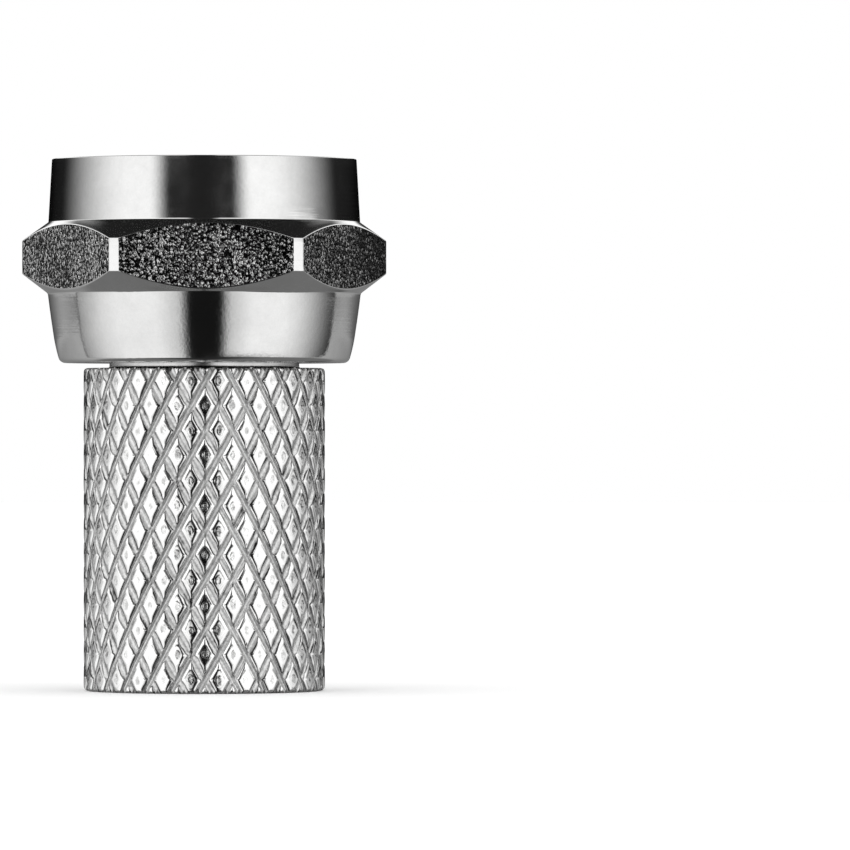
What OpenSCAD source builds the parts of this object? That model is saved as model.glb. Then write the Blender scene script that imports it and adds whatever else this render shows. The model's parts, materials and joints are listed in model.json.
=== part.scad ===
// F connector plug for coaxial cable: a knurled twist-on body, a flanged ferrule
// pressed into its neck, and a hexagon coupling nut that turns on the neck.
// The axis is Z, the plug stands on its cable end at Z = 0, and the nut's mouth is up.

/* [Knurled body] */
// Outer diameter of the knurled barrel
barrel_d = 9.04; // [8.8:0.02:9.6]
// Height of the knurled barrel
barrel_h = 12.07; // [11.5:0.01:12.5]
// Chamfer at both ends of the barrel
barrel_edge = 0.15; // [0.05:0.05:0.2]
// Diameter of the neck that the nut turns on
neck_d = 7.1; // [6.8:0.05:7.3]
// Height of the neck above the barrel
neck_h = 1.36; // [1.2:0.02:1.8]
// Diameter of the bore that grips the cable's jacket
cable_bore_d = 6.8; // [6.4:0.1:7]
// Depth of the cable bore
cable_bore_depth = 10.9; // [9:0.1:11]
// Diameter of the seat for the ferrule
seat_d = 6; // [5.8:0.1:6.2]

/* [Knurl] */
// Number of diamonds round the barrel
knurl_count = 27; // [20:1:32]
// Height of one diamond, from groove crossing to groove crossing
knurl_pitch = 1.842; // [1.8:0.002:2]
// Depth of the V grooves
knurl_depth = 0.18; // [0.1:0.01:0.25]
// Width of a groove as a share of the distance between grooves
knurl_groove = 0.3; // [0.15:0.05:0.5]
// Turn of the whole pattern about the axis, in degrees
knurl_turn = -1.6; // [-6.6:0.1:6.6]

/* [Ferrule] */
// Diameter of the flange that holds the nut
flange_d = 8.2; // [7.8:0.1:8.4]
// Thickness of the flange
flange_h = 0.8; // [0.5:0.05:1]
// Diameter of the bore that the cable's dielectric passes through
dielectric_bore_d = 5; // [4.6:0.1:5.2]

/* [Coupling nut] */
// Width of the hexagon across its flats
hex_flats = 12; // [11.9:0.1:12.4]
// Diameter that the hexagon's corners are turned down to
hex_corner_d = 13.62; // [13.4:0.02:13.8]
// Turn of the hexagon about the axis, in degrees
hex_turn = 2.1; // [-30:0.1:30]
// Height of the nut from its rear face to its mouth
nut_h = 7.62; // [7.5:0.01:8.5]
// Gap between the barrel and the nut's rear face
nut_gap = 0.19; // [0.1:0.01:0.25]
// Diameter of the front band at the mouth
mouth_d = 11.4; // [11.2:0.02:11.6]
// Height of the front band
front_band_h = 2.36; // [2:0.02:2.6]
// Height of the rear band, up to the hexagon
rear_band_h = 2.6; // [2.2:0.02:2.8]
// Diameter of the rear band where it meets the hexagon
rear_band_d = 11.71; // [11.6:0.01:11.8]
// Taper of the rear band on each side, in degrees, down to where it starts to curve in
rear_taper = 7.8; // [4:0.2:9]
// Height of the straight taper, down from the hexagon
rear_taper_h = 1.46; // [1:0.02:1.6]
// Radius of the curve below the straight taper
rear_curve_r = 6.5; // [5:0.5:9]
// Radius of the rounded rear edge
rear_edge_r = 0.35; // [0.2:0.05:0.5]
// Thickness of the inner lip that runs under the flange
lip_h = 1; // [0.8:0.05:1.2]

/* [Socket thread] */
// Major diameter of the 3/8-32 UNEF thread
thread_major_d = 9.525; // [9.525]
// Threads per inch
thread_per_inch = 32; // [32]

/* [Hidden] */
$fn = 96;
eps = 0.01;

barrel_r = barrel_d / 2;
neck_r = neck_d / 2;
cable_bore_r = cable_bore_d / 2;
seat_r = seat_d / 2;
neck_z = barrel_h + neck_h;
entry_chamfer = 0.3;

// The solid wall under the knurl, and the knurl ring's own inner wall buried in it
core_margin = 0.03;
knurl_root_r = barrel_r - knurl_depth;
core_r = knurl_root_r - core_margin;
ring_inner_r = (core_r + cable_bore_r) / 2;

flange_r = flange_d / 2;
dielectric_bore_r = dielectric_bore_d / 2;
flange_top_z = neck_z + flange_h;
ferrule_chamfer = 0.15;

// Heights of the nut's features
nut_z = barrel_h + nut_gap;
mouth_z = nut_z + nut_h;
front_band_z = mouth_z - front_band_h;
hex_z = nut_z + rear_band_h;
lip_z = nut_z + lip_h;
front_chamfer_h = 0.69;
rear_chamfer_h = 0.73;

// Radii of the nut's features. The front band flares towards the hexagon.
front_band_flare = 0.133;
neck_clearance = 0.1;
mouth_r = mouth_d / 2;
front_band_r = mouth_r + front_band_flare;
mouth_edge = 0.1;
hex_corner_r = hex_corner_d / 2;
rear_band_r = rear_band_d / 2;
lip_bore_r = neck_r + neck_clearance;

// The rear band's straight taper runs into a large arc, and that into the small edge arc.
// The two arcs touch where both slope inwards by rear_end_slope.
rear_curve_x = rear_band_r - rear_taper_h * tan(rear_taper) - rear_curve_r * cos(rear_taper);
rear_curve_z = hex_z - rear_taper_h + rear_curve_r * sin(rear_taper);
rear_end_slope = asin((rear_curve_z - nut_z - rear_edge_r) / (rear_curve_r - rear_edge_r));
rear_edge_x = rear_curve_x + (rear_curve_r - rear_edge_r) * cos(rear_end_slope);

// The socket is bored to its thread's minor diameter. An inner 60 degree thread is
// 5/8 of the height of its full triangle deep. Behind it is a run-out groove.
inch = 25.4;
thread_pitch = inch / thread_per_inch;
thread_depth = 5 / 8 * thread_pitch * cos(30);
thread_minor_r = thread_major_d / 2 - thread_depth;
relief_clearance = 0.08;
relief_r = thread_major_d / 2 + relief_clearance;
relief_h = 1.4;
relief_slope_h = 0.3;
socket_chamfer = 0.45;

// The barrel's knurl is a lattice of two families of helical V grooves. Line n of either
// family is a groove's floor for n = 0, 3, 6 and so on, and its two edges lie at n +- 1.
knurl_rows = 14;
knurl_lines = 3 * knurl_rows;
knurl_nodes = 3 * knurl_count;
function knurl_line(n) = floor(n / 3) + [0, knurl_groove / 2, 1 - knurl_groove / 2][n % 3];
function knurl_r(u, v) = u % 3 == 0 || v % 3 == 0 ? knurl_root_r : barrel_r;
function on_cylinder(r, angle, z) = [r * cos(angle), r * sin(angle), z];
function knurl_point(d, v) = on_cylinder(
    knurl_r(v + d, v),
    (knurl_line(v + d) + knurl_line(v)) * 180 / knurl_count,
    (knurl_line(v + d) - knurl_line(v)) * knurl_pitch / 2);
function knurl_index(d, v) = d * knurl_nodes + v % knurl_nodes;
function inner_point(d, v) = on_cylinder(
    ring_inner_r,
    (knurl_line(v + d) + knurl_line(v)) * 180 / knurl_count,
    d == 0 ? 0 : knurl_rows * knurl_pitch / 2);

// A lattice quad's fold runs up towards the diamond's top, so it is one of its diagonals
function folds_across(d, v) = (v + d) % 3 + v % 3 == 2 && (v + d) % 3 != v % 3;
function upper_half(d, v) = folds_across(d, v)
    ? [knurl_index(d, v), knurl_index(d - 1, v + 1), knurl_index(d + 1, v)]
    : [knurl_index(d, v), knurl_index(d, v + 1), knurl_index(d + 1, v)];
function lower_half(d, v) = folds_across(d, v)
    ? [knurl_index(d + 1, v), knurl_index(d - 1, v + 1), knurl_index(d, v + 1)]
    : [knurl_index(d, v), knurl_index(d - 1, v + 1), knurl_index(d, v + 1)];

// Points of an arc round [cx, cy], for outlines that are revolved
function arc(cx, cy, r, from, to, steps = 6) = [
    for (i = [0 : steps]) let (a = from + (to - from) * i / steps)
        [cx + r * cos(a), cy + r * sin(a)]
];

// Ring of raised diamonds, longer than the barrel at both ends
module knurl_ring() {
    outer = [for (d = [0 : knurl_lines], v = [0 : knurl_nodes - 1]) knurl_point(d, v)];
    inner = [for (d = [0, knurl_lines], v = [0 : knurl_nodes - 1]) inner_point(d, v)];
    first = len(outer);
    top = knurl_lines * knurl_nodes;
    faces = [
        for (d = [0 : knurl_lines - 1], v = [0 : knurl_nodes - 1]) upper_half(d, v),
        for (d = [1 : knurl_lines], v = [0 : knurl_nodes - 1]) lower_half(d, v),
        for (v = [0 : knurl_nodes - 1]) let (
            w = (v + 1) % knurl_nodes, b0 = v, b1 = w, t0 = top + v, t1 = top + w,
            ib0 = first + v, ib1 = first + w,
            it0 = ib0 + knurl_nodes, it1 = ib1 + knurl_nodes)
            each [
                [b1, b0, ib0], [b1, ib0, ib1],
                [t0, t1, it1], [t0, it1, it0],
                [ib1, ib0, it0], [ib1, it0, it1]
            ]
    ];
    polyhedron(points = concat(outer, inner), faces = [for (f = faces) [f[2], f[1], f[0]]]);
}

// Outline of the space that the knurled barrel fills, with its two chamfered ends
module barrel_envelope() {
    rotate_extrude()
        polygon([
            [0, 0],
            [barrel_r - barrel_edge, 0],
            [barrel_r + eps, barrel_edge + eps],
            [barrel_r + eps, barrel_h - barrel_edge - eps],
            [barrel_r - barrel_edge, barrel_h],
            [0, barrel_h]
        ]);
}

module knurled_body() {
    color("gainsboro")
        difference() {
            union() {
                intersection() {
                    translate([0, 0, (barrel_h - knurl_rows * knurl_pitch / 2) / 2])
                        rotate(knurl_turn)
                            knurl_ring();
                    barrel_envelope();
                }
                cylinder(r = core_r, h = barrel_h);
                cylinder(r = neck_r, h = neck_z);
            }
            translate([0, 0, -eps])
                cylinder(r = cable_bore_r, h = cable_bore_depth + eps);
            translate([0, 0, -eps])
                cylinder(r = seat_r, h = neck_z + 2 * eps);
            translate([0, 0, -eps])
                cylinder(r1 = cable_bore_r + entry_chamfer + eps, r2 = cable_bore_r,
                    h = entry_chamfer + eps);
        }
}

module ferrule() {
    color("silver")
        rotate_extrude()
            polygon([
                [dielectric_bore_r + ferrule_chamfer, cable_bore_depth],
                [seat_r, cable_bore_depth],
                [seat_r, neck_z],
                [flange_r, neck_z],
                [flange_r, flange_top_z - ferrule_chamfer],
                [flange_r - ferrule_chamfer, flange_top_z],
                [dielectric_bore_r + ferrule_chamfer, flange_top_z],
                [dielectric_bore_r, flange_top_z - ferrule_chamfer],
                [dielectric_bore_r, cable_bore_depth + ferrule_chamfer]
            ]);
}

// Turned outside of the nut without its hexagon: front band over rear band
module nut_bands() {
    rotate_extrude()
        polygon(concat(
            [[0, nut_z]],
            arc(rear_edge_x, nut_z + rear_edge_r, rear_edge_r, -90, -rear_end_slope),
            arc(rear_curve_x, rear_curve_z, rear_curve_r, -rear_end_slope, -rear_taper),
            [
                [rear_band_r, hex_z],
                [front_band_r, front_band_z],
                [mouth_r, mouth_z - mouth_edge],
                [mouth_r - mouth_edge, mouth_z],
                [0, mouth_z]
            ]
        ));
}

// Hexagon with its corners turned down and both its faces chamfered
module nut_hexagon() {
    intersection() {
        rotate(hex_turn)
            cylinder(r = hex_flats / 2 / cos(30), h = mouth_z, $fn = 6);
        rotate_extrude()
            polygon([
                [0, hex_z],
                [rear_band_r, hex_z],
                [hex_corner_r, hex_z + rear_chamfer_h],
                [hex_corner_r, front_band_z - front_chamfer_h],
                [front_band_r, front_band_z],
                [0, front_band_z]
            ]);
    }
}

// Inside of the nut, from the lip's bore up to the mouth
module nut_socket() {
    rotate_extrude()
        polygon([
            [0, nut_z - eps],
            [lip_bore_r, nut_z - eps],
            [lip_bore_r, lip_z],
            [relief_r, lip_z],
            [relief_r, lip_z + relief_h - relief_slope_h],
            [thread_minor_r, lip_z + relief_h],
            [thread_minor_r, mouth_z - socket_chamfer],
            [thread_minor_r + socket_chamfer + eps, mouth_z + eps],
            [0, mouth_z + eps]
        ]);
}

module coupling_nut() {
    color("silver")
        difference() {
            union() {
                nut_bands();
                nut_hexagon();
            }
            nut_socket();
        }
}

knurled_body();
ferrule();
coupling_nut();
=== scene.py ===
"""Looks of the F plug: nickel-plated knurled body, ferrule and hexagon coupling nut."""

import json
import math

import bmesh
import bpy
import numpy as np
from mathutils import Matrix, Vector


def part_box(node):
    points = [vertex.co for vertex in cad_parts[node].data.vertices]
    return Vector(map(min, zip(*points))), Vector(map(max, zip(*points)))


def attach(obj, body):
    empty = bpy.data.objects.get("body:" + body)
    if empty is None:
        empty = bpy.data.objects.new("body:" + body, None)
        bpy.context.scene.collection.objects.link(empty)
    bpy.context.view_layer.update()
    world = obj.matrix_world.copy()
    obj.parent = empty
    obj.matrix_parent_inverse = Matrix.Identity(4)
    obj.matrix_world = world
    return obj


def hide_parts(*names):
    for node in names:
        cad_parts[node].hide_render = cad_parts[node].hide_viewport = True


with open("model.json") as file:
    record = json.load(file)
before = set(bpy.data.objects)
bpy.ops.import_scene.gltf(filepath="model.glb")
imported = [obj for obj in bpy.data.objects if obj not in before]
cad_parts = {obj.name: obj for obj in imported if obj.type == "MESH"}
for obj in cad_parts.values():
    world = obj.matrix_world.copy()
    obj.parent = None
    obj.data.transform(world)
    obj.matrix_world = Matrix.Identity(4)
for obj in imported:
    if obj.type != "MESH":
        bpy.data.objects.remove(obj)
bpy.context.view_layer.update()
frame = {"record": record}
mounts = {mount["name"]: mount for mount in frame["record"]["mounts"]}

MM = 0.001

# Sizes that the frame gives
body_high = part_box("knurled_body")[1]
ferrule_low, ferrule_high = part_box("ferrule")
nut_low, nut_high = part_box("coupling_nut")
SOCKET_MINOR_R = mounts["socket_thread"]["dims"]["r_mm"] * MM
CABLE_BORE_R = mounts["cable_bore"]["dims"]["r_mm"] * MM
DIELECTRIC_R = mounts["dielectric_bore"]["dims"]["r_mm"] * MM

# Meshes: bevel of inner edges, distance of the row that keeps an edge crisp, rows in a
# thread's pitch
BEVEL = 0.08 * MM
CRISP = 0.02 * MM
THREAD_ROWS = 14

# Knurled body
BARREL_R = 4.52 * MM
BARREL_TOP = 12.07 * MM
BARREL_EDGE_BOTTOM = 0.2 * MM
BARREL_EDGE_TOP = 0.14 * MM
END_FACE_R = 4.22 * MM
NECK_R = 3.55 * MM
NECK_TOP = body_high.z
SEAT_R = 3.0 * MM
CABLE_BORE_END = ferrule_low.z
CABLE_THREAD_PITCH = 1.25 * MM
CABLE_THREAD_DEPTH = 0.3 * MM
CABLE_THREAD_FADE = 0.6 * MM

# Knurl: two families of helical grooves that cross in rows of diamonds
KNURL_COUNT = 27
KNURL_PITCH = 1.842 * MM
KNURL_TURN = math.radians(-1.6)

# Coupling nut
FLATS = 12.0 * MM
CORNER_R = 6.81 * MM
HEX_EDGE = 0.03 * MM
HEX_SECTOR = math.radians(60)
HEX_TURN = math.radians(2.1)
NUT_REAR = nut_low.z
MOUTH = nut_high.z
MOUTH_R = 5.7 * MM
MOUTH_EDGE = 0.03 * MM
FRONT_BAND_R = 5.833 * MM
FRONT_BAND_Z = MOUTH - 2.36 * MM
HEX_Z = NUT_REAR + 2.6 * MM
FRONT_CHAMFER_H = 0.69 * MM
REAR_CHAMFER_H = 0.73 * MM
REAR_BAND_R = 5.855 * MM
REAR_TAPER = math.radians(7.8)
REAR_TAPER_BOW = math.radians(0.9)
REAR_TAPER_H = 1.46 * MM
REAR_CURVE_R = 6.5 * MM
REAR_EDGE_R = 0.26 * MM
REAR_FACE_R = 4.6 * MM
LIP_BORE_R = 3.65 * MM
LIP_Z = NUT_REAR + 1.0 * MM
RELIEF_R = 4.8425 * MM
RELIEF_H = 1.4 * MM
RELIEF_EDGE = 0.1 * MM
THREAD_PITCH = 25.4 / 32 * MM
THREAD_MAJOR_R = 4.7625 * MM
SOCKET_CHAMFER = 0.45 * MM

# Ferrule
FLANGE_R = 4.1 * MM
FERRULE_EDGE = 0.1 * MM

# Camera: distance, width and middle of what it sees at the plug, sensor in mm
VIEW_DISTANCE = 27.76 * FLATS
VIEW_WIDTH = 2.6513 * FLATS
VIEW_MIDDLE = 0.6883 * FLATS
SENSOR_WIDTH = 36.0

# Floor, and the broad lamp over it
FLOOR_R = 0.8
FLOOR_SIDES = 64
LAMP_HEIGHT = 0.3
LAMP_SPREAD = math.radians(100)
LAMP_ENERGY = 2.6


def smooth_min(a, b, k):
    """The lower of two heights, with the crease between them rounded over about k."""
    h = np.clip(0.5 + 0.5 * (b - a) / k, 0, 1)
    return b * (1 - h) + a * h - k * h * (1 - h)


def arc(cx, cz, r, start, end, steps):
    """Points of an arc in the (radius, height) plane, angles in radians."""
    return [
        (cx + r * math.cos(a), cz + r * math.sin(a))
        for a in np.linspace(start, end, steps + 1)
    ]


def polar(r, angle, z):
    return np.stack([r * np.cos(angle), r * np.sin(angle), z + 0 * r], axis=-1)


class Rows(list):
    """Rows of a turned surface: a radius and a height for every column's angle."""

    def __init__(self, angle):
        super().__init__()
        self.angle = angle

    def add(self, r, z):
        self.append((r + 0 * self.angle, z + 0 * self.angle))

    def points(self):
        return np.stack([polar(r, self.angle, z) for r, z in self]).reshape(-1, 3)


def smooth_normals(co, faces):
    """One normal per vertex, each face weighing in by its area."""
    normals = np.zeros_like(co)
    for corners in ((0, 1, 2), (0, 2, 3)) if faces.shape[1] == 4 else ((0, 1, 2),):
        a, b, c = (co[faces[:, i]] for i in corners)
        n = np.cross(b - a, c - a)
        for i in corners:
            np.add.at(normals, faces[:, i], n)
    return normals


def make_piece(name, co, quads, triangles=None, uv=None, first_normals=None):
    """A shaded mesh object from vertices, quads, and triangles if there are any.

    first_normals are the exact normals of the first vertices, where these are known.
    """
    triangles = np.zeros((0, 3), int) if triangles is None else np.asarray(triangles, int)
    mesh = bpy.data.meshes.new(name)
    mesh.from_pydata(co.tolist(), [], quads.tolist() + triangles.tolist())
    normals = smooth_normals(co, quads) + smooth_normals(co, triangles)
    if first_normals is not None:
        normals[: len(first_normals)] = first_normals
    length = np.linalg.norm(normals, axis=1, keepdims=True)
    normals = normals / np.where(length > 0, length, 1)
    mesh.polygons.foreach_set("use_smooth", [True] * len(mesh.polygons))
    mesh.normals_split_custom_set_from_vertices(normals.tolist())
    if uv is not None:
        layer = mesh.uv_layers.new(name="relief")
        layer.data.foreach_set("uv", np.asarray(uv, np.float32).ravel())
    mesh.update()
    obj = bpy.data.objects.new(name, mesh)
    bpy.context.scene.collection.objects.link(obj)
    return obj


def ring_quads(rows, columns, closed_rows):
    """Quads of a grid of rings; with closed_rows the last ring joins the first."""
    j = np.arange(rows if closed_rows else rows - 1)
    i = np.arange(columns)
    jj, ii = np.meshgrid(j, i, indexing="ij")
    j1 = (jj + 1) % rows
    i1 = (ii + 1) % columns
    return np.stack(
        [jj * columns + ii, j1 * columns + ii, j1 * columns + i1, jj * columns + i1], axis=-1
    ).reshape(-1, 4)


# ---------------------------------------------------------------------------------------
# Coupling nut

# Angle from the middle of a flat to its end, where the turned corner begins
FLAT_END = math.acos(FLATS / 2 / CORNER_R)


def nut_columns():
    """Angles of the nut's columns, closer together at the hexagon's corners."""
    near = math.radians(0.3)
    flat = list(np.linspace(-FLAT_END + 4 * near, FLAT_END - 4 * near, 41))
    sector = [-FLAT_END + k * near for k in (-2, -1, 0, 1, 2, 3)] + flat
    sector += [FLAT_END - k * near for k in (3, 2, 1, 0, -1, -2)]
    sector += [HEX_SECTOR / 2]
    middle = [math.radians(30 + 60 * k) + HEX_TURN for k in range(6)]
    return np.array([m + a for m in middle for a in sector])


def hex_radius(angle):
    """Distance from the axis to the hexagon's side, its corners turned down."""
    off = (angle - HEX_TURN) % HEX_SECTOR - HEX_SECTOR / 2
    return smooth_min(FLATS / 2 / np.cos(off), CORNER_R + 0 * off, HEX_EDGE)


def nut_outside(angle):
    """Rows down the nut's outside, with the numbers of the flats' first and last rows."""
    rows = Rows(angle)
    row = rows.add

    # Mouth rim and front band, with a small fillet down to the chamfer
    for r, z in arc(MOUTH_R - MOUTH_EDGE, MOUTH - MOUTH_EDGE, MOUTH_EDGE, math.pi / 2, 0.06, 4):
        row(r, z)
    band_slope = (FRONT_BAND_R - MOUTH_R) / (MOUTH - FRONT_BAND_Z)
    for drop in np.linspace(0.12, 0.97, 14):
        z = MOUTH - drop * (MOUTH - FRONT_BAND_Z)
        row(MOUTH_R + band_slope * (MOUTH - z), z)
    row(FRONT_BAND_R - 0.001 * MM, FRONT_BAND_Z + 0.018 * MM)
    row(FRONT_BAND_R + 0.006 * MM, FRONT_BAND_Z + 0.003 * MM)

    # Front chamfer, out to the hexagon
    hex_r = hex_radius(angle)
    front_slope = FRONT_CHAMFER_H / (CORNER_R - FRONT_BAND_R)
    chamfer_end = hex_r - HEX_EDGE
    for t in np.linspace(0.06, 1, 7):
        r = FRONT_BAND_R + t * (chamfer_end - FRONT_BAND_R)
        row(r, FRONT_BAND_Z - front_slope * (r - FRONT_BAND_R))
    top = FRONT_BAND_Z - front_slope * (hex_r - FRONT_BAND_R)
    row(hex_r - 0.25 * HEX_EDGE, top - 0.25 * HEX_EDGE)

    # Flats and corners
    rear_slope = REAR_CHAMFER_H / (CORNER_R - REAR_BAND_R)
    bottom = HEX_Z + rear_slope * (hex_r - REAR_BAND_R)
    flat_start = len(rows)
    for t in np.linspace(0, 1, 9):
        row(hex_r, (top - HEX_EDGE) * (1 - t) + (bottom + HEX_EDGE) * t)
    flat_end = len(rows) - 1

    # Rear chamfer
    row(hex_r - 0.25 * HEX_EDGE, bottom + 0.25 * HEX_EDGE)
    for t in np.linspace(1, 0.05, 7):
        r = REAR_BAND_R + t * (chamfer_end - REAR_BAND_R)
        row(r, HEX_Z + rear_slope * (r - REAR_BAND_R))
    row(REAR_BAND_R + 0.008 * MM, HEX_Z - 0.006 * MM)

    # Rear band: slightly bowed taper, large arc, small edge arc
    taper_in = REAR_TAPER_H * math.tan(REAR_TAPER)
    curve_x = REAR_BAND_R - taper_in - REAR_CURVE_R * math.cos(REAR_TAPER)
    curve_z = HEX_Z - REAR_TAPER_H + REAR_CURVE_R * math.sin(REAR_TAPER)
    end_slope = math.asin((curve_z - NUT_REAR - REAR_EDGE_R) / (REAR_CURVE_R - REAR_EDGE_R))
    edge_x = curve_x + (REAR_CURVE_R - REAR_EDGE_R) * math.cos(end_slope)
    for t in np.linspace(0.04, 1, 10):
        bow = t * (1 - t) * REAR_TAPER_H * REAR_TAPER_BOW
        row(REAR_BAND_R - t * taper_in + bow, HEX_Z - t * REAR_TAPER_H)
    for r, z in arc(curve_x, curve_z, REAR_CURVE_R, -REAR_TAPER, -end_slope, 8)[1:]:
        row(r, z)
    edge_z = NUT_REAR + REAR_EDGE_R
    for r, z in arc(edge_x, edge_z, REAR_EDGE_R, -end_slope, -math.pi / 2, 10)[1:]:
        row(r, z)
    return rows, flat_start, flat_end


def thread_radius(angle, z, minor_r, major_r, pitch, crest=0.25, root=0.125):
    """Radius of an inner right-hand thread of 60 degree flanks, flat crests and roots."""
    phase = (z / pitch - angle / (2 * math.pi)) % 1
    off = np.abs(phase - 0.5) * 2
    share = np.clip((off - crest) / (1 - crest - root), 0, 1)
    return minor_r + (major_r - minor_r) * share


def nut_inside(angle):
    """Rows from the rear face, up through the lip and the thread, to the mouth."""
    rows = Rows(angle)
    row = rows.add

    row(REAR_FACE_R, NUT_REAR)
    row(LIP_BORE_R + BEVEL + CRISP, NUT_REAR)
    row(LIP_BORE_R + BEVEL, NUT_REAR)
    row(LIP_BORE_R, NUT_REAR + BEVEL)
    row(LIP_BORE_R, LIP_Z - BEVEL)
    row(LIP_BORE_R + BEVEL, LIP_Z)
    row(RELIEF_R - RELIEF_EDGE, LIP_Z)
    row(RELIEF_R, LIP_Z + RELIEF_EDGE)
    thread_start = LIP_Z + RELIEF_H - 0.3 * MM
    row(RELIEF_R, thread_start - CRISP)
    steps = int(round((MOUTH - thread_start) / (THREAD_PITCH / THREAD_ROWS)))
    for z in np.linspace(thread_start, MOUTH, steps + 1):
        thread = thread_radius(angle, z, SOCKET_MINOR_R, THREAD_MAJOR_R, THREAD_PITCH)
        cone = SOCKET_MINOR_R + SOCKET_CHAMFER - (MOUTH - z)
        runout = RELIEF_R - (z - thread_start)
        row(np.maximum(thread, max(cone, runout)), z)
    row(SOCKET_MINOR_R + SOCKET_CHAMFER + 0.05 * MM, MOUTH)
    row(MOUTH_R - 0.15 * MM, MOUTH)
    return rows


def build_nut():
    """The coupling nut with its socket thread."""
    angle = nut_columns()
    rows, flat_start, flat_end = nut_outside(angle)
    rows.extend(nut_inside(angle))
    nut = make_piece("nut_shell", rows.points(), ring_quads(len(rows), len(angle), True))

    # The rough flats have a material of their own, the turned corner strips don't
    width = (np.roll(angle, -1) - angle) % (2 * math.pi)
    centre = (angle + width / 2 - HEX_TURN) % HEX_SECTOR
    on_flat = np.abs(centre - HEX_SECTOR / 2) < FLAT_END
    index = np.zeros((len(rows), len(angle)), int)
    index[flat_start:flat_end, :] = on_flat.astype(int)
    nut.data.materials.append(turned_metal("nut_metal", 0.0014, satin_below=HEX_Z))
    nut.data.materials.append(flat_metal("nut_flat_metal"))
    nut.data.polygons.foreach_set("material_index", index.ravel())
    return nut


# ---------------------------------------------------------------------------------------
# Knurled body

ARC_PITCH = 2 * math.pi * BARREL_R / KNURL_COUNT
GROOVE_PITCH = 1 / math.hypot(1 / ARC_PITCH, 1 / KNURL_PITCH)


def slope_profile(stops):
    """Distance and rise of a surface, from its distance in mm and slope in degrees at each stop."""
    x = np.linspace(0, stops[-1][0] * MM, 400)
    angle = np.interp(x, [s * MM for s, _ in stops], [math.radians(a) for _, a in stops])
    return x, np.concatenate([[0], np.cumsum(np.tan(angle[1:]) * np.diff(x))])


# Profiles by stops, each a distance in mm and the slope there in degrees. The shallow grooves
# are round troughs, and the deep ones cut across them with a narrow floor. A diamond is level
# in its middle and falls toward its edge, most steeply part of the way. On most of the barrel
# the grooves that rise to the right are the deep ones; on its right side, where the cosine of
# the angle passes DEPTH_SWAP, it's the other way round
SHALLOW_DEPTH = 0.115 * MM
SHALLOW_WALL = slope_profile(((0, 0), (0.03, 19), (0.1, 32), (0.16, 40), (0.5, 48)))
DEEP_DEPTH = 0.175 * MM
DEEP_WALL = slope_profile(((0, 0), (0.03, 12), (0.048, 54), (0.085, 66), (0.5, 66)))
DEPTH_SWAP = 0.27
DIAMOND_FALL = slope_profile((
    (0, 0), (0.165, 0), (0.2, 4), (0.24, 13), (0.27, 27), (0.3, 29), (0.36, 22), (0.42, 12),
    (0.7, 6)))

# How far the grooves wander, and how wide the creases are rounded: between two grooves, from
# groove to diamond, and at the barrel's ends
GROOVE_BEND = 0.012 * MM
GROOVE_CREASE = 0.01 * MM
DIAMOND_CREASE = 0.008 * MM
END_CREASE = 0.02 * MM

# The crater on a diamond: half its width and height, how far off the middle it may lie
CRATER_DEPTH = 0.014 * MM
CRATER_ACROSS = 0.13 * MM
CRATER_ALONG = 0.21 * MM
CRATER_SHIFT = 0.05 * MM
CRATER_LIFT = 0.07 * MM
CRATER_ROWS = 32

# Lines of the knurl's mesh across one unit of the lattice, closer at walls and crests
LINE_DISTANCES = (0.03, 0.068, 0.102, 0.16, 0.235, 0.3, 0.38)
HALF_STEPS = [distance * MM / GROOVE_PITCH for distance in LINE_DISTANCES]
KNURL_STEPS = np.array([0, *HALF_STEPS, *(1 - step for step in reversed(HALF_STEPS))])


def wander(a, b, seed, cells):
    """Smooth random field over the lattice between -1 and 1, the same after a full turn."""
    size = KNURL_COUNT * cells
    table = np.random.default_rng(seed).uniform(-1, 1, (size, size))
    i, j = np.floor(a * cells).astype(int), np.floor(b * cells).astype(int)
    s, t = a * cells - i, b * cells - j
    s, t = s * s * (3 - 2 * s), t * t * (3 - 2 * t)

    def corner(di, dj):
        return table[(i + di) % size, (j + dj) % size]

    low = corner(0, 0) * (1 - s) + corner(1, 0) * s
    high = corner(0, 1) * (1 - s) + corner(1, 1) * s
    return low * (1 - t) + high * t


def groove_height(distance, deep):
    """Height of a groove's wall at a distance from its floor, deep being 0 to 1."""
    shallow_wall = np.interp(distance, *SHALLOW_WALL) - SHALLOW_DEPTH
    deep_wall = np.interp(distance, *DEEP_WALL) - DEEP_DEPTH
    return shallow_wall * (1 - deep) + deep_wall * deep


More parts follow.
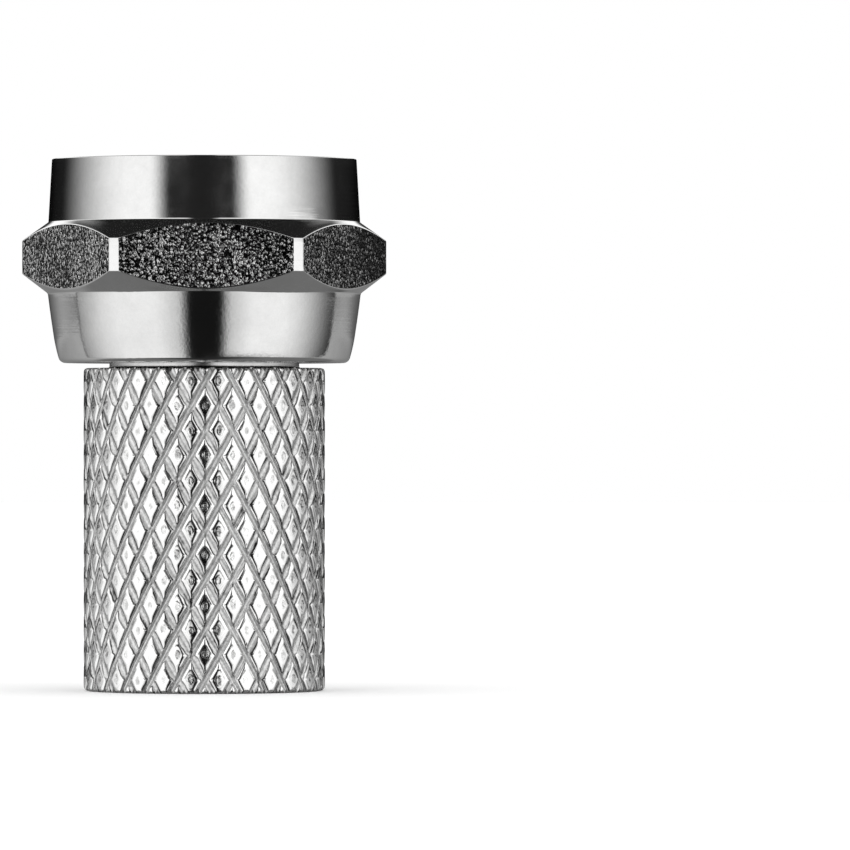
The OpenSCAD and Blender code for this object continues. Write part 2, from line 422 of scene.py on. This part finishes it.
def knurl_relief(a, b):
    """Height over the crests, height of the diamonds over the grooves, and crater reach.

    The last is below 1 inside the shallow crater that the knurling leaves on a diamond.
    """
    u, v = a % 1 - 0.5, b % 1 - 0.5
    bend = GROOVE_BEND * wander(a, b, 3, 2)
    to_backward = np.abs((0.5 - np.abs(u)) * GROOVE_PITCH + bend)
    to_forward = np.abs((0.5 - np.abs(v)) * GROOVE_PITCH - bend)
    angle = (a + b) * math.pi / KNURL_COUNT + KNURL_TURN
    forward_deep = np.clip(0.5 + 3 * (DEPTH_SWAP - np.cos(angle)), 0, 1)
    groove = smooth_min(
        groove_height(to_backward, 1 - forward_deep), groove_height(to_forward, forward_deep),
        GROOVE_CREASE)

    swell = 1 + 0.07 * wander(a, b, 4, 3)
    power = np.where(u * v > 0, 9.0, 4.0)
    spread = (np.abs(u) ** power + np.abs(v) ** power) ** (1 / power)
    diamond = -np.interp(spread * GROOVE_PITCH * swell, *DIAMOND_FALL)
    chance = np.random.default_rng(7).random((3, 2 * KNURL_COUNT, CRATER_ROWS))
    ia, ib = np.floor(a).astype(int), np.floor(b).astype(int)
    size, shift, lift = chance[:, (ia + ib) % (2 * KNURL_COUNT), (ia - ib) % CRATER_ROWS]
    across = ARC_PITCH * (u + v) / 2 + (shift - 0.5) * CRATER_SHIFT
    along = KNURL_PITCH * (u - v) / 2 + (lift - 0.5) * CRATER_LIFT
    reach = np.hypot(across / CRATER_ACROSS, along / CRATER_ALONG) / (0.85 + 0.3 * size)
    floor = np.clip((0.95 - reach) / 0.65, 0, 1)
    diamond = diamond - CRATER_DEPTH * floor * floor * (3 - 2 * floor)
    diamond = diamond + 0.003 * MM * wander(a, b, 5, 5)
    return smooth_min(groove, diamond, DIAMOND_CREASE), diamond - groove, reach


def lattice_line(n):
    """Lattice coordinate of the mesh's line number n."""
    steps = len(KNURL_STEPS)
    return n // steps + KNURL_STEPS[n % steps]


def edge_radius(z):
    """Radius of the barrel's rounded ends at height z."""

    def rounded(depth, r):
        inside = np.clip(depth, 0, r)
        return BARREL_R - r + np.sqrt(r * r - (r - inside) ** 2)

    return np.minimum(rounded(z, BARREL_EDGE_BOTTOM), rounded(BARREL_TOP - z, BARREL_EDGE_TOP))


def lattice_of(angle, z):
    """The two lattice coordinates of a place on the barrel: whole numbers are groove floors."""
    turn = (angle - KNURL_TURN) * KNURL_COUNT / (2 * math.pi)
    rise = (z - BARREL_TOP / 2) / KNURL_PITCH + 0.5
    return turn + rise, turn - rise


def barrel_radius(angle, z):
    """Radius of the knurled barrel's surface."""
    height = knurl_relief(*lattice_of(angle, z))[0]
    return smooth_min(BARREL_R + height, edge_radius(z), END_CREASE)


def barrel_normals(angle, z):
    """Normals of the barrel's surface, from the slopes of its radius."""
    step = 0.001 * MM
    turn = step / BARREL_R
    around = (barrel_radius(angle + turn, z) - barrel_radius(angle - turn, z)) / (2 * step)
    along = (barrel_radius(angle, z + step) - barrel_radius(angle, z - step)) / (2 * step)
    cos, sin = np.cos(angle), np.sin(angle)
    return np.stack([cos + around * sin, sin - around * cos, -along], axis=-1)


def knurl_sheet():
    """The knurl on a grid that follows its grooves, cut off at the barrel's ends.

    Gives its points, their normals, its triangles, and the points of its lower and upper rims.
    """
    steps = len(KNURL_STEPS)
    around = steps * KNURL_COUNT
    rows = math.ceil(BARREL_TOP / KNURL_PITCH)
    d, v = np.meshgrid(np.arange(2 * rows * steps + 1), np.arange(around), indexing="ij")
    a, b = lattice_line(v + d), lattice_line(v)
    angle = (a + b - 1) * math.pi / KNURL_COUNT + KNURL_TURN
    z = BARREL_TOP / 2 + (a - b - rows) * KNURL_PITCH / 2
    co = polar(BARREL_R + 0 * z, angle, z).reshape(-1, 3)

    # Each quad is split along the fold that the diamond has there
    d, v = d[1:-1], v[1:-1]

    def node(dd, vv):
        return dd * around + vv % around

    left, right = node(d, v), node(d, v + 1)
    low, high = node(d - 1, v + 1), node(d + 1, v)
    centre_a = (lattice_line(v + d) + lattice_line(v + d + 1)) / 2 % 1 - 0.5
    centre_b = (lattice_line(v) + lattice_line(v + 1)) / 2 % 1 - 0.5
    level = (centre_a * centre_b > 0)[..., None]
    first = np.where(level, np.stack([left, right, high], -1), np.stack([left, low, high], -1))
    second = np.where(level, np.stack([left, low, right], -1), np.stack([low, right, high], -1))
    triangles = np.concatenate([first.reshape(-1, 3), second.reshape(-1, 3)])
    keep = (co[triangles, 2].max(axis=1) > 0) & (co[triangles, 2].min(axis=1) < BARREL_TOP)
    triangles = triangles[keep]
    used, packed = np.unique(triangles, return_inverse=True)
    sheet = bpy.data.meshes.new("knurl_sheet")
    sheet.from_pydata(co[used].tolist(), [], packed.reshape(-1, 3).tolist())
    bm = bmesh.new()
    bm.from_mesh(sheet)
    for height, normal in ((0, -1), (BARREL_TOP, 1)):
        bmesh.ops.bisect_plane(bm, geom=bm.verts[:] + bm.edges[:] + bm.faces[:], dist=1e-7,
                               plane_co=(0, 0, height), plane_no=(0, 0, normal), clear_outer=True)
    bmesh.ops.triangulate(bm, faces=[f for f in bm.faces if len(f.verts) > 3])
    bm.verts.index_update()
    co = np.array([v.co for v in bm.verts])
    triangles = np.array([[v.index for v in f.verts] for f in bm.faces])
    rim = np.array([v.index for v in bm.verts if v.is_boundary])
    bm.free()
    bpy.data.meshes.remove(sheet)
    angle = np.arctan2(co[:, 1], co[:, 0])
    z = np.clip(co[:, 2], 0, BARREL_TOP)
    lower = rim[z[rim] < BARREL_TOP / 2]
    upper = rim[z[rim] > BARREL_TOP / 2]
    co = polar(barrel_radius(angle, z), angle, z)
    return co, barrel_normals(angle, z), triangles, lower, upper


def zip_rings(co, ring_a, ring_b):
    """Triangles between two rings of vertices, taken in order of angle."""
    angle = np.arctan2(co[:, 1], co[:, 0])
    a = ring_a[np.argsort(angle[ring_a])]
    b = ring_b[np.argsort(angle[ring_b])]
    turn = 2 * math.pi
    angle_a = np.append(angle[a], angle[a[0]] + turn)
    angle_b = np.append(angle[b], angle[b[0]] + turn)
    triangles = []
    i = j = 0
    while i < len(a) or j < len(b):
        here_a, here_b = a[i % len(a)], b[j % len(b)]
        if j >= len(b) or (i < len(a) and angle_a[i + 1] < angle_b[j + 1]):
            triangles.append((here_a, a[(i + 1) % len(a)], here_b))
            i += 1
        else:
            triangles.append((here_a, b[(j + 1) % len(b)], here_b))
            j += 1
    return triangles


def body_inside(angle):
    """Rows from the barrel's top face, over the neck and down the bore."""
    rows = Rows(angle)
    row = rows.add

    row(END_FACE_R, BARREL_TOP)
    row(NECK_R + BEVEL + CRISP, BARREL_TOP)
    for r, z in arc(NECK_R + BEVEL, BARREL_TOP + BEVEL, BEVEL, -math.pi / 2, -math.pi, 4):
        row(r, z)
    row(NECK_R, NECK_TOP - BEVEL - CRISP)
    row(NECK_R, NECK_TOP - BEVEL)
    row(NECK_R - BEVEL, NECK_TOP)
    row(SEAT_R + CRISP, NECK_TOP)
    row(SEAT_R, NECK_TOP)
    row(SEAT_R, NECK_TOP - CRISP)
    row(SEAT_R, CABLE_BORE_END + CRISP)
    row(SEAT_R, CABLE_BORE_END)
    row(SEAT_R + CRISP, CABLE_BORE_END)
    row(CABLE_BORE_R - CRISP, CABLE_BORE_END)
    steps = int(round(CABLE_BORE_END / (CABLE_THREAD_PITCH / THREAD_ROWS)))
    root_r = CABLE_BORE_R + CABLE_THREAD_DEPTH
    for z in np.linspace(CABLE_BORE_END, 0, steps + 1):
        thread = thread_radius(angle, z, CABLE_BORE_R, root_r, CABLE_THREAD_PITCH, 0.08, 0.45)
        fade = np.clip((CABLE_BORE_END - z) / CABLE_THREAD_FADE, 0, 1)
        entry = root_r - z
        row(np.maximum(CABLE_BORE_R + (thread - CABLE_BORE_R) * fade, entry), z)
    row(root_r + 0.03 * MM, 0)
    row(END_FACE_R, 0)
    return rows


def build_body():
    """The knurled body with the thread in its cable bore."""
    knurl, knurl_normals, knurl_faces, lower, upper = knurl_sheet()
    angle = np.linspace(-math.pi, math.pi, 96, endpoint=False)
    rows = body_inside(angle)
    co = np.concatenate([knurl, rows.points()])
    first = len(knurl)
    quads = ring_quads(len(rows), len(angle), False) + first
    top_ring = first + np.arange(len(angle))
    bottom_ring = len(co) - len(angle) + np.arange(len(angle))
    top = np.array(zip_rings(co, upper, top_ring))
    bottom = np.array(zip_rings(co, bottom_ring, lower))
    triangles = np.concatenate([knurl_faces, top, bottom])

    # The knurl's material tells grooves and craters by the two values of a UV layer: height of
    # the diamond over the groove in mm, and crater reach
    place = lattice_of(np.arctan2(co[:, 1], co[:, 0]), co[:, 2])
    _, over_groove, reach = knurl_relief(*place)
    relief = np.stack([over_groove / MM, reach], axis=-1)
    corners = np.concatenate([quads.ravel(), triangles.ravel()])
    body = make_piece("body_shell", co, quads, triangles, relief[corners], knurl_normals)
    body.data.materials.append(turned_metal("body_metal", 0.0015, 0.22, 0.32))
    body.data.materials.append(knurl_metal())
    index = np.zeros(len(quads) + len(triangles), int)
    index[len(quads) : len(quads) + len(knurl_faces)] = 1
    body.data.polygons.foreach_set("material_index", index)
    return body


# ---------------------------------------------------------------------------------------
# Ferrule


def build_ferrule():
    """The flanged sleeve between the neck and the nut's lip."""
    angle = np.linspace(0, 2 * math.pi, 144, endpoint=False)
    low, high, neck = ferrule_low.z, ferrule_high.z, NECK_TOP
    e = FERRULE_EDGE
    rows = Rows(angle)
    for r, z in (
        (SEAT_R, low + CRISP), (SEAT_R, neck - CRISP), (SEAT_R, neck), (SEAT_R + CRISP, neck),
        (FLANGE_R - e / 2, neck), (FLANGE_R, neck + e / 2), (FLANGE_R, neck + e / 2 + CRISP),
        (FLANGE_R, high - e - CRISP),
        *arc(FLANGE_R - e, high - e, e, 0, math.pi / 2, 5),
        (FLANGE_R - e - CRISP, high), (DIELECTRIC_R + e + CRISP, high),
        *arc(DIELECTRIC_R + e, high - e, e, math.pi / 2, math.pi, 5),
        (DIELECTRIC_R, high - e - CRISP), (DIELECTRIC_R, low + e + CRISP),
        *arc(DIELECTRIC_R + e, low + e, e, math.pi, 1.5 * math.pi, 4),
        (DIELECTRIC_R + e + CRISP, low), (SEAT_R - CRISP, low), (SEAT_R, low),
    ):
        rows.add(r, z)
    ferrule = make_piece("ferrule_sleeve", rows.points(), ring_quads(len(rows), len(angle), True))
    ferrule.data.materials.append(turned_metal("ferrule_metal", 0.0006, 0.12, 0.18))
    return ferrule


# ---------------------------------------------------------------------------------------
# Materials


class Nodes:
    """Short calls for building a node tree."""

    def __init__(self, tree):
        self.tree = tree
        tree.nodes.clear()

    def feed(self, socket, value):
        """Give a socket its value: a link from a node's output, or a constant."""
        if isinstance(value, bpy.types.NodeSocket):
            self.tree.links.new(value, socket)
        else:
            socket.default_value = value

    def add(self, kind, inputs=None, **settings):
        node = self.tree.nodes.new(kind)
        for name, value in settings.items():
            setattr(node, name, value)
        for name, value in (inputs or {}).items():
            self.feed(node.inputs[name], value)
        return node

    def math(self, operation, *values):
        node = self.add("ShaderNodeMath", operation=operation)
        for socket, value in zip(node.inputs, values):
            self.feed(socket, value)
        return node.outputs[0]

    def plus(self, a, b):
        return self.math("ADD", a, b)

    def minus(self, a, b):
        return self.math("SUBTRACT", a, b)

    def times(self, a, b):
        return self.math("MULTIPLY", a, b)

    def ramp(self, value, low, high, to_low=0.0, to_high=1.0, smooth=True):
        """value mapped from low..high to to_low..to_high, held at both ends."""
        node = self.add("ShaderNodeMapRange", {
            "Value": value, "From Min": low, "From Max": high, "To Min": to_low,
            "To Max": to_high}, interpolation_type="SMOOTHSTEP" if smooth else "LINEAR")
        return node.outputs["Result"]

    def place(self):
        """The place on the object, in metres."""
        return self.add("ShaderNodeTexCoord").outputs["Object"]

    def noise(self, vector, scale, detail=2.0, roughness=0.5):
        """Noise of the given number of cells a metre."""
        node = self.add("ShaderNodeTexNoise", {
            "Vector": vector, "Scale": scale, "Detail": detail, "Roughness": roughness})
        return node.outputs["Fac"]

    def bump(self, height, distance, normal=None):
        node = self.add("ShaderNodeBump", {
            "Height": height, "Distance": distance, "Strength": 1.0})
        if normal is not None:
            self.tree.links.new(normal, node.inputs["Normal"])
        return node.outputs["Normal"]

    def colours(self, value, low_at, low, high_at, high):
        """The colour low where value is low_at or less, turning into high at high_at."""
        node = self.add("ShaderNodeValToRGB", {"Fac": value})
        first, last = node.color_ramp.elements
        first.position, first.color = low_at, (*low, 1)
        last.position, last.color = high_at, (*high, 1)
        return node.outputs["Color"]

    def surface(self, shader, kind="ShaderNodeOutputMaterial"):
        output = self.add(kind)
        self.tree.links.new(shader.outputs[0], output.inputs["Surface"])

    def metal(self, colour, roughness, normal):
        self.surface(self.add("ShaderNodeBsdfPrincipled", {
            "Base Color": colour, "Metallic": 1.0, "Roughness": roughness, "Normal": normal}))


NICKEL = (0.80, 0.80, 0.795)
DULL_NICKEL = [0.85 * c for c in NICKEL]
BRIGHT_NICKEL = (0.9, 0.9, 0.895)
# Dark end of the knurl's colour: painted shade along the groove edges and in the craters, and the
# grooves' mottle
SHADE_AND_MOTTLE_DARK = (0.02, 0.02, 0.02)
PIT = (0.01, 0.01, 0.01)


def new_material(name):
    """A material and the calls for building its empty node tree."""
    material = bpy.data.materials.new(name)
    material.use_nodes = True
    return material, Nodes(material.node_tree)


def turned_metal(name, rings, roughness_low=0.07, roughness_high=0.11, satin_below=0.0):
    """Nickel plating on a turned surface, its roughness varying a little.

    rings is the height in mm of the fine rings round the axis. Under the height satin_below
    the surface has more grain.
    """
    material, n = new_material(name)
    place = n.place()
    patches = n.noise(place, 900.0, 3.0)
    roughness = n.ramp(patches, 0.3, 0.7, roughness_low, roughness_high)
    speckle = n.noise(place, 350.0, 6.0, 0.85)

    stretch = n.add("ShaderNodeMapping", {"Vector": place, "Scale": (120.0, 120.0, 9000.0)})
    lines = n.noise(stretch.outputs["Vector"], 1.0, 3.0, 0.6)
    split = n.add("ShaderNodeSeparateXYZ", {"Vector": place})
    across, height = split.outputs["X"], split.outputs["Z"]

    # Chatter marks of the tool over the front chamfer, on one side
    over_chamfer = n.minus(height, FRONT_BAND_Z)
    chatter = n.times(n.ramp(over_chamfer, 0.0, 0.1 * MM),
                      n.ramp(over_chamfer, 0.2 * MM, 0.6 * MM, 1.0, 0.0))
    chatter = n.times(chatter, n.ramp(across, 0.25 * FLATS, 0.3 * FLATS))
    chatter = n.times(chatter, n.ramp(across, 0.33 * FLATS, 0.38 * FLATS, 1.0, 0.0))
    scored = n.bump(n.times(lines, chatter), 0.02 * MM)
    turned = n.bump(lines, rings * MM, normal=scored)

    satin = n.ramp(height, satin_below - 0.1 * MM, satin_below, 1.0, 0.5)
    pores = n.times(n.noise(place, 8500.0, 2.0), satin)
    n.metal(n.colours(speckle, 0.3, DULL_NICKEL, 0.7, NICKEL), roughness,
            n.bump(pores, 0.0018 * MM, normal=turned))
    return material


def flat_metal(name):
    """The hexagon's flats: coarse grain of the drawn bar with dark pits.

    Painted light and shade: the pits are fewer toward the nut's left side (negative X) and denser
    toward the far right end (positive X), so the flats come out lighter on the left and darker at
    the right end.
    """
    material, n = new_material(name)
    place = n.place()
    across = n.add("ShaderNodeSeparateXYZ", {"Vector": place}).outputs["X"]
    # Painted light and shade across the nut: lighter toward negative X, darker toward positive X;
    # slow noise below adds random patches
    painted_shade_and_patches = n.plus(n.ramp(across, -0.35 * FLATS, -0.25 * FLATS, 0.03, 0.0),
                  n.ramp(across, 0.4 * FLATS, 0.56 * FLATS, 0.0, -0.1))
    painted_shade_and_patches = n.plus(painted_shade_and_patches, n.ramp(n.noise(place, 450.0, 1.0), 0.3, 0.7, -0.03, 0.03))
    pits = n.plus(n.noise(place, 9800.0, 2.0, 0.6), painted_shade_and_patches)
    coarse = n.noise(place, 9800.0, 1.0, 0.5)
    patches = n.bump(n.noise(place, 2600.0, 1.0), 0.012 * MM)
    n.metal(n.colours(pits, 0.48, PIT, 0.63, NICKEL), 0.1,
            n.bump(coarse, 0.046 * MM, normal=patches))
    return material


def knurl_metal():
    """The knurl's plating: bright diamonds, dull mottled grooves with painted shade along their
    edges, and speckled craters darkened by painted shade.
    """
    material, n = new_material("knurl_metal")
    place = n.place()
    relief = n.add("ShaderNodeUVMap", uv_map="relief").outputs["UV"]
    split = n.add("ShaderNodeSeparateXYZ", {"Vector": relief})
    uneven = n.ramp(n.noise(place, 5000.0, 2.0), 0.3, 0.7, -0.003, 0.003)
    over_groove = n.plus(split.outputs["X"], uneven)
    groove = n.ramp(over_groove, -0.003, 0.004)
    # Painted shade: a thin dark line where a diamond meets a groove
    edge = n.ramp(n.math("ABSOLUTE", over_groove), 0.003, 0.016, 1.0, 0.0)
    crater = n.ramp(split.outputs["Y"], 0.45, 1.05, 1.0, 0.0)

    patches = n.ramp(n.noise(place, 3000.0, 3.0), 0.3, 0.7, 0.09, 0.16)
    roughness = n.plus(patches, n.ramp(over_groove, 0.0, 0.018, 0.0, 0.36))
    roughness = n.plus(roughness, n.times(crater, 0.1))

    # Painted shade along the groove edges, varying in strength; mottled grooves; painted shade in
    # soft patches over the craters
    painted_edge_shade_strength = n.ramp(n.noise(place, 2200.0, 3.0), 0.3, 0.65, 0.5, 1.0)
    shade = n.minus(1.0, n.times(edge, painted_edge_shade_strength))
    mottle = n.ramp(n.noise(place, 9000.0, 3.0, 0.6), 0.4, 0.7, 0.0, 0.28)
    shade = n.times(shade, n.minus(1.0, n.times(groove, mottle)))
    # Painted shade: the craters darkened in soft patches of noise
    painted_crater_shade = n.times(crater, n.ramp(n.noise(place, 3500.0, 3.0), 0.4, 0.65, 0.0, 0.4))
    shade = n.times(shade, n.minus(1.0, painted_crater_shade))

    grain = n.bump(n.noise(place, 12000.0, 2.0), 0.0012 * MM)
    groove_floor = n.times(n.noise(place, 7000.0, 2.0, 0.6), groove)
    pitted = n.bump(groove_floor, 0.013 * MM, normal=grain)
    crater_floor = n.times(n.noise(place, 6000.0, 1.0, 0.6), crater)
    n.metal(n.colours(shade, 0.0, SHADE_AND_MOTTLE_DARK, 1.0, BRIGHT_NICKEL), roughness,
            n.bump(crater_floor, 0.018 * MM, normal=pitted))
    return material


# ---------------------------------------------------------------------------------------
# Studio


def studio_world():
    """White room for the eye; for reflections a studio with a softbox on either side.

    Directions are azimuth from the front, positive to the right, and height in degrees.
    """
    world = bpy.data.worlds.new("studio")
    world.use_nodes = True
    n = Nodes(world.node_tree)
    add, times, less = n.plus, n.times, n.minus
    direction = n.add("ShaderNodeTexCoord").outputs["Generated"]
    split = n.add("ShaderNodeSeparateXYZ", {"Vector": direction})
    x, y, z = (split.outputs[name] for name in "XYZ")
    degrees = 180 / math.pi
    azimuth = times(n.math("ARCTAN2", x, times(y, -1.0)), degrees)
    height = times(n.math("ARCSINE", z), degrees)
    side = n.math("ABSOLUTE", azimuth)
    left = n.ramp(azimuth, -1.0, 1.0, 1.0, 0.0, smooth=False)

    # Three bands of height: above the table, level, and over the table
    raised = add(height, n.ramp(side, 60.0, 110.0, 0.0, 2.2))
    above = times(n.ramp(raised, 1.0, 4.0), n.ramp(height, 10.0, 18.0, 1.0, 0.0))
    below = n.ramp(height, -8.0, -4.0, 1.0, 0.0)
    level = less(1.0, add(above, below))

    def gap(centre, near, far, share=1.0, late=15.0, last=40.0):
        """The dark gap in front, where the camera stands; light comes back in two steps."""
        off = n.math("ABSOLUTE", less(azimuth, centre))
        return add(times(n.ramp(off, near, far), share), times(n.ramp(off, late, last), 1 - share))

    opening = times(above, gap(-1.5, 22.5, 39.0))
    opening = add(opening, times(below, gap(1.7, 11.0, 21.5, 0.65, 17.0)))
    opening = add(opening, times(level, gap(0.0, 7.5, 14.0, 0.85, 15.0, 35.0)))

    # The softboxes fade to the back. Low down they end where the table begins, with a rounded
    # lower corner
    fade_above = n.ramp(side, add(48.0, times(left, 7.0)), add(120.0, times(left, 12.0)), 1.0, 0.0)
    fade_below = n.ramp(side, add(58.0, times(left, 2.0)), add(122.0, times(left, 16.0)), 1.0, 0.0)
    fade_level = n.ramp(side, 56.0, add(165.0, times(left, 3.0)), 1.0, 0.0)
    far_back = times(n.ramp(side, 90.0, 125.0, 0.0, 0.95), n.ramp(height, 7.0, 15.0))
    fade_level = add(fade_level, times(far_back, n.ramp(height, 24.0, 36.0, 1.0, 0.0)))
    lower_edge = add(n.ramp(side, 20.0, 90.0, -32.0, -27.0, smooth=False), times(left, -14.0))
    over_edge = less(height, lower_edge)
    corner = n.ramp(over_edge, 0.0, add(13.0, times(left, 7.0)), add(16.0, times(left, 6.0)), 0.0)
    table_start = less(115.0, add(times(left, 7.0), corner))
    past = less(side, table_start)
    fade = times(times(below, fade_below), n.ramp(past, -1.0, 1.0, 1.0, 0.0))
    fade = add(fade, add(times(above, fade_above), times(level, fade_level)))
    upper_end = n.ramp(height, 36.0, 50.0, 1.0, 0.0)
    over_floor = n.ramp(over_edge, -4.0, 4.0)
    brightness = add(1.1, add(times(above, 0.1), times(level, 0.2)))
    softboxes = times(times(opening, fade), times(times(upper_end, over_floor), brightness))

    # The table behind the object, up to its edge, and the dark room over it
    table_edge = n.ramp(side, 108.0, 165.0, -8.3, -2.6, smooth=False)
    beyond = n.ramp(past, 0.0, 2.5)
    on_table = times(beyond, n.ramp(less(height, table_edge), -0.8, 0.8, 1.0, 0.0))
    table = times(on_table, n.ramp(side, 105.0, 165.0, 0.5, 0.22, smooth=False))
    room = times(times(beyond, less(1.0, on_table)), n.ramp(height, -2.0, 1.5, 0.11, 0.0))

    # The floor, dark in front and far behind, and the little light of everything else
    floor = times(less(1.0, over_floor), n.ramp(side, 10.0, 80.0, 0.015, 0.18))
    floor = times(floor, n.ramp(side, 148.0, 168.0, 1.0, 0.08))
    rest = add(n.ramp(height, -6.0, -2.0, 0.009, 0.002), n.ramp(height, 2.0, 5.0, 0.0, 0.016))
    total = add(add(softboxes, add(times(table, over_floor), floor)), add(room, rest))

    lit = n.add("ShaderNodeBackground", {"Color": (1, 1, 1, 1), "Strength": total})
    seen = n.add("ShaderNodeBackground", {"Color": (1, 1, 1, 1), "Strength": 1.0})
    path = n.add("ShaderNodeLightPath")
    mix = n.add("ShaderNodeMixShader", {0: path.outputs["Is Camera Ray"]})
    n.tree.links.new(lit.outputs[0], mix.inputs[1])
    n.tree.links.new(seen.outputs[0], mix.inputs[2])
    n.surface(mix, "ShaderNodeOutputWorld")
    bpy.context.scene.world = world


def studio_floor():
    """Round white floor, lit from above, that the metal doesn't mirror."""
    mesh = bpy.data.meshes.new("floor")
    turn = np.linspace(0, 2 * math.pi, FLOOR_SIDES, endpoint=False)
    ring = [(FLOOR_R * math.cos(t), FLOOR_R * math.sin(t), 0.0) for t in turn]
    mesh.from_pydata(ring, [], [list(range(FLOOR_SIDES))])
    floor = bpy.data.objects.new("floor", mesh)
    bpy.context.scene.collection.objects.link(floor)
    material, n = new_material("floor")
    n.surface(n.add("ShaderNodeBsdfDiffuse", {"Color": (0.9, 0.9, 0.9, 1)}))
    mesh.materials.append(material)
    floor.visible_glossy = False

    lamp = bpy.data.lights.new("overhead", "SUN")
    lamp.angle = LAMP_SPREAD
    lamp.energy = LAMP_ENERGY
    overhead = bpy.data.objects.new("overhead", lamp)
    overhead.location = (0, 0, LAMP_HEIGHT)
    overhead.visible_glossy = False
    bpy.context.scene.collection.objects.link(overhead)


def studio_camera():
    """Level camera at mid height, beside the plug's axis as the photo shows a second plug."""
    camera = bpy.data.cameras.new("camera")
    camera.sensor_width = SENSOR_WIDTH
    camera.lens = SENSOR_WIDTH * VIEW_DISTANCE / VIEW_WIDTH
    camera.clip_start = 0.01
    camera.clip_end = 10.0
    holder = bpy.data.objects.new("camera", camera)
    holder.location = (VIEW_MIDDLE, -VIEW_DISTANCE, MOUTH / 2)
    holder.rotation_euler = (math.radians(90), 0, 0)
    bpy.context.scene.collection.objects.link(holder)
    bpy.context.scene.camera = holder
    bpy.context.scene.view_settings.view_transform = "Standard"


studio_camera()
studio_world()
studio_floor()

nut = build_nut()
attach(nut, "nut")
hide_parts("coupling_nut")

body = build_body()
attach(body, "body")
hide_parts("knurled_body")

ferrule = build_ferrule()
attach(ferrule, "body")
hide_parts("ferrule")
